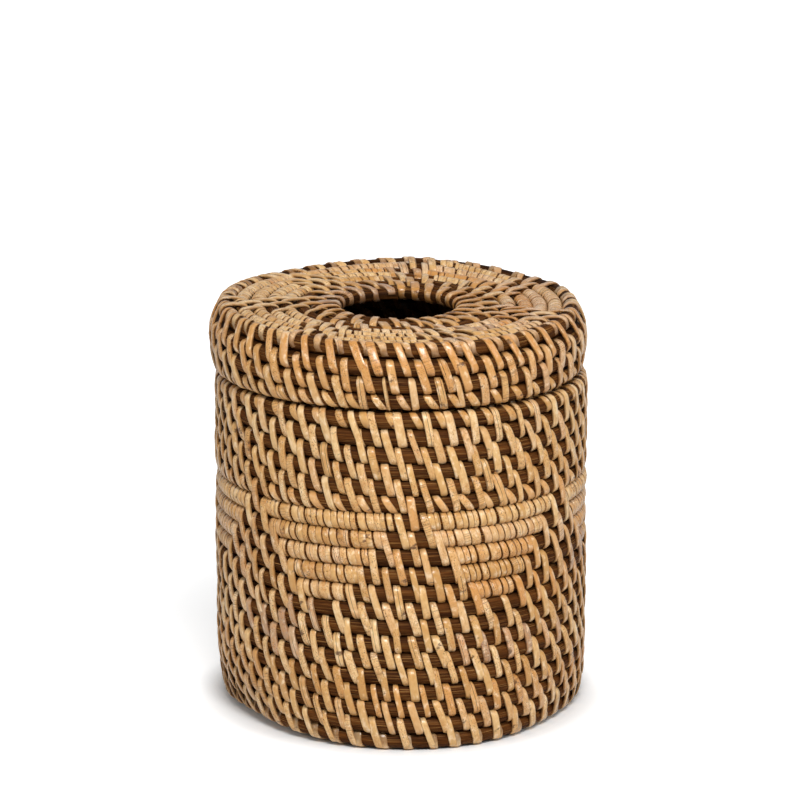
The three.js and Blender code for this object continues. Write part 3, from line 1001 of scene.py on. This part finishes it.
lid_places = clear_places(lid, 1 + SEAM_MARGIN, LID_ROWS + LAST_STITCH, lid_step, [], LONG_LEAN / 2)
lid_stitches = with_windings(
    lid_places, lambda s: lid_row_wound(s, int(s)), lid_stitch, lid.radius_at)
dress(lid_stitches, coolest=0.12, runs=WARM_RUNS)
frayed = min(lid_stitches, key=lambda stitch: abs(stitch.s - FRAYED_PLACE))
frayed.width = FRAYED_WIDTH
frayed.twist = FRAYED_TWIST
print("lid:", len(lid_stitches), "stitches and close turns")

# %% Strands of the lid
EDGE_LEAN = 4.6 * MM
EDGE_MARGIN = 0.03

lid_figure_nodes = [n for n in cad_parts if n.startswith("lid_figure")]
LID_BANDS = [("lid_lashing_inner", 0, 4, ()),
             ("lid_lashing_outer", 4, RIM_ROW, lid_figure_nodes),
             ("lid_lashing_skirt", RIM_ROW, LID_ROWS + 1, ())]
add_bands(LID_BANDS, lid, lid_stitches, "lid", newest_first=False)

edge_shift = (LONG_LEAN / 2 + BESIDE) / (AROUND * (skirt_radius + CANE))
edge_places = [s + edge_shift for s in lid_places if -1 < s - LID_ROWS - LAST_STITCH < -EDGE_MARGIN]
edge_stitches = dress([short_stitch(s, NEW, EDGE_LEAN) for s in edge_places])
add_strand("lid_edge_lashing", lid, edge_stitches, "lid", newest_first=False)

# %% [markdown]
# ## Loose fibres
# Split peel leaves a few hairs standing out. Each is a thin tube along a curve through three
# points, so a real one can be set where the photograph shows it: a loop at the left of the lid, and a
# short hair at the right of the upper wall.

# %% Loose fibres
FIBRE_RADIUS = 0.14 * MM
FIBRE_SIDES = 6
FIBRE_STATIONS = 24
TAPERS_BY = 0.7


def loose_fibre(name, body, start, middle, end, is_loop):
    """Sweeps a hair through three points, each given as degrees to the right, radius and height."""
    points = [turn_to_space((degrees / 360 + 0.5) % 1, radius, height)
              for degrees, radius, height in (start, middle, end)]
    bow = 2 * points[1] - (points[0] + points[2]) / 2
    t = np.linspace(0, 1, FIBRE_STATIONS)[:, None]
    path = (1 - t) ** 2 * points[0] + 2 * t * (1 - t) * bow + t ** 2 * points[2]
    tangent = unit(np.gradient(path, axis=0))
    first = unit(np.cross(tangent, points[2] - points[0] + np.array([0, 0, MM]) + path * 0.01))
    second = np.cross(tangent, first)
    angle = np.linspace(0, AROUND, FIBRE_SIDES, endpoint=False)[None, :, None]
    taper = 1 if is_loop else 1 - TAPERS_BY * t[:, :, None]
    ring = first[:, None, :] * np.cos(angle) + second[:, None, :] * np.sin(angle)
    rings = path[:, None, :] + ring * FIBRE_RADIUS * taper
    # a hair is darkened all along by part of the painted gap shade
    mesh = swept_mesh(name, rings, {"along": t * 10 * MM, "across": 0.0, "edge": 0.0, "tone": 0.3,
                                    "warmth": 0.5, "seed": 3.0, "gap_shade": 0.6})
    add_piece(name, mesh, light_peel, body)


skirt_outside = skirt_radius + CANE
wall_outside = wall_radius + CANE
loop_root = skirt_outside - 0.5 * MM
loose_fibre("lid_loose_loop", "lid", (-80, loop_root, 170.5 * MM),
            (-84, skirt_outside + 1.9 * MM, 167.3 * MM), (-80, loop_root, 164.0 * MM), is_loop=True)
loose_fibre("wall_loose_hair", "basket", (80, wall_outside - 0.5 * MM, 103.6 * MM),
            (84, wall_outside + 1.3 * MM, 103.2 * MM),
            (87, wall_outside + 2.9 * MM, 104.4 * MM), is_loop=False)

# %% [markdown]
# ## The collar
# Inside the mouth a few turns of thinner cane stand up and keep the lid from sliding off. They are
# sewn to the wall below the mouth and step in a little above it, to give the lid room. Thin cane
# asks for thin peel, and the stitches are plain ones, since nobody sees them with the lid on.

# %% Collar
COLLAR_CANE = 2.05 * MM
COLLAR_TURNS = 8
COLLAR_PEEL = 0.5 * MM
COLLAR_PEEL_WIDTH = 2.8 * MM
COLLAR_STEP = 11 * MM
COLLAR_LEAN = 0.6 * LONG_LEAN
LID_PLAY = 2.4 * MM
SEWN_PLAY = 0.2 * MM
STEP_IN = 2.3 * MM

collar_low, collar_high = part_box("collar")
collar_first = collar_low.z + COLLAR_CANE + COLLAR_PEEL + RAISED
collar_last = collar_high.z - COLLAR_CANE - COLLAR_PEEL - LID_PLAY + RAISED
collar_heights = np.linspace(collar_first, collar_last, COLLAR_TURNS)
sewn_radius = wall_radius - CANE - STRIP_THICKNESS - COLLAR_CANE - COLLAR_PEEL - SEWN_PLAY
free_radius = sewn_radius - STEP_IN
collar = Coil([(sewn_radius if z < mouth_height else free_radius, z, COLLAR_CANE, 0)
               for z in collar_heights], seed=17, sway=0.12 * MM, heave=0.06 * MM, aside=BASKET_ASIDE)
collar_mesh = cane_mesh("collar_cane", collar, HOLE_START, COLLAR_TURNS + PARED_END, 8)
add_piece("collar_cane", collar_mesh, collar_cane, "basket", ["collar"])

collar_places = clear_places(
    collar, 0.5, COLLAR_TURNS - SEAM_MARGIN, lambda s: COLLAR_STEP, [], -LONG_LEAN / 2)
collar_stitches = [Stitch(s, NEW, NEW if s < 1 else OLD, COLLAR_LEAN, COLLAR_PEEL_WIDTH)
                   for s in collar_places]
add_strand("collar_lashing", collar, collar_stitches, "basket", thickness=COLLAR_PEEL)
print("collar: top at", round((collar_last + COLLAR_CANE) / MM, 1), "mm")

# %% [markdown]
# ## Studio
# The photograph is a plain catalogue picture: a long lens a little above the rim, one large soft
# light from above and in front with a weaker one at each side, and a white sweep. The background's
# white comes from the floor's own glow to the camera, not from more light on the basket. That glow
# is weaker near the basket, so that the lamps' soft shadow stays, and right by its foot it also
# dims with ambient occlusion, which paints a contact shadow there.

# %% Camera
CAMERA_DISTANCE = 1.936
CAMERA_HEIGHT = 0.6274
CAMERA_PITCH = 0.249

camera_data = bpy.data.cameras.new("camera")
camera_data.lens = 205.3
camera_data.sensor_width = 36.0
camera_data.clip_end = 50.0
camera = new_object("camera", camera_data)
camera.location = (0, -CAMERA_DISTANCE, CAMERA_HEIGHT)
camera.rotation_euler = (math.pi / 2 - CAMERA_PITCH, 0, 0)
bpy.context.scene.camera = camera
print("camera lens, mm:", round(camera_data.lens, 1))

# %% Floor
NEAR_GLOW = 0.66
FAR_GLOW = 1.0
CONTACT_REACH = 0.018
CONTACT_POWER = 2.0
MIRRORED = 0.3
WHITE = (1, 1, 1, 1)
FLOOR_GREY = (0.8, 0.8, 0.8, 1)
FLOOR_HEIGHT = -0.0002
SIDE = 8.0
WHITENS = (0.15, 0.9)


def ray_kinds(tree):
    """Whether a ray comes from the camera, and whether by way of a mirror or glass."""
    path = node(tree, "LightPath").outputs
    mirrored = maths(tree, "MAXIMUM", path["Is Glossy Ray"], path["Is Transmission Ray"])
    return path["Is Camera Ray"], mirrored


floor_mesh = bpy.data.meshes.new("floor")
floor_mesh.from_pydata([(-SIDE, -SIDE, 0), (SIDE, -SIDE, 0), (SIDE, SIDE, 0), (-SIDE, SIDE, 0)], [],
                       [(0, 1, 2, 3)])
floor = new_object("floor", floor_mesh)
floor.location.z = FLOOR_HEIGHT
floor_material, ground, _ = new_material("floor")
ground.nodes.clear()
paint = node(ground, "BsdfDiffuse", {"Color": FLOOR_GREY}).outputs[0]
spot = node(ground, "NewGeometry").outputs["Position"]
far = node(ground, "VectorMath", {0: spot}, operation="LENGTH")
floor_glow = rescale(ground, far.outputs["Value"], *WHITENS, NEAR_GLOW, FAR_GLOW)
# the glow dims with ambient occlusion by the foot: a painted contact shadow
openness = node(ground, "AmbientOcclusion", {"Distance": CONTACT_REACH}).outputs["AO"]
floor_glow = times(ground, floor_glow, maths(ground, "POWER", openness, CONTACT_POWER))
direct, mirrored = ray_kinds(ground)
seen = maths(ground, "MAXIMUM", direct, times(ground, mirrored, MIRRORED))
glow = node(ground, "Emission",
            {"Color": WHITE, "Strength": times(ground, seen, floor_glow)}).outputs[0]
look = node(ground, "AddShader", {0: paint, 1: glow}).outputs[0]
node(ground, "OutputMaterial", {"Surface": look})
floor_mesh.materials.append(floor_material)
print("floor:", 2 * SIDE, "m wide")

# %% World
SKY_LIGHT = 0.095
BACKDROP = 0.6

world = bpy.data.worlds.new("studio")
bpy.context.scene.world = world
world.use_nodes = True
sky = world.node_tree
sky.nodes.clear()
direct, mirrored = ray_kinds(sky)
way = node(sky, "SeparateXYZ", {0: node(sky, "TexCoord").outputs["Generated"]})
backdrop = rescale(sky, way.outputs["Y"], -0.1, 0.4, SKY_LIGHT, BACKDROP)
strength = maths(sky, "MAXIMUM", times(sky, mirrored, backdrop), SKY_LIGHT)
strength = maths(sky, "MAXIMUM", strength, direct)
sky_glow = node(sky, "Background", {"Color": WHITE, "Strength": strength})
node(sky, "OutputWorld", {"Surface": sky_glow.outputs[0]})
print("world light:", SKY_LIGHT)

# %% Lamps
AIM = (0, 0, 0.08)
LAMPS = [("key_light", (0.15, -1.36, 1.6), (0.6, 0.4), 30.3),
         ("left_light", (-1.5, -0.9, 1.0), (0.7, 0.7), 7.0),
         ("right_light", (1.5, -0.9, 1.0), (0.7, 0.7), 9.6)]

for name, place, size, watts in LAMPS:
    light = bpy.data.lights.new(name, "AREA")
    light.shape = "RECTANGLE"
    light.size, light.size_y = size
    light.energy = watts
    lamp = new_object(name, light)
    lamp.location = place
    lamp.rotation_euler = (Vector(AIM) - Vector(place)).to_track_quat("-Z", "Y").to_euler()
bpy.context.scene.view_settings.view_transform = "Standard"
print("lamps:", len(LAMPS))
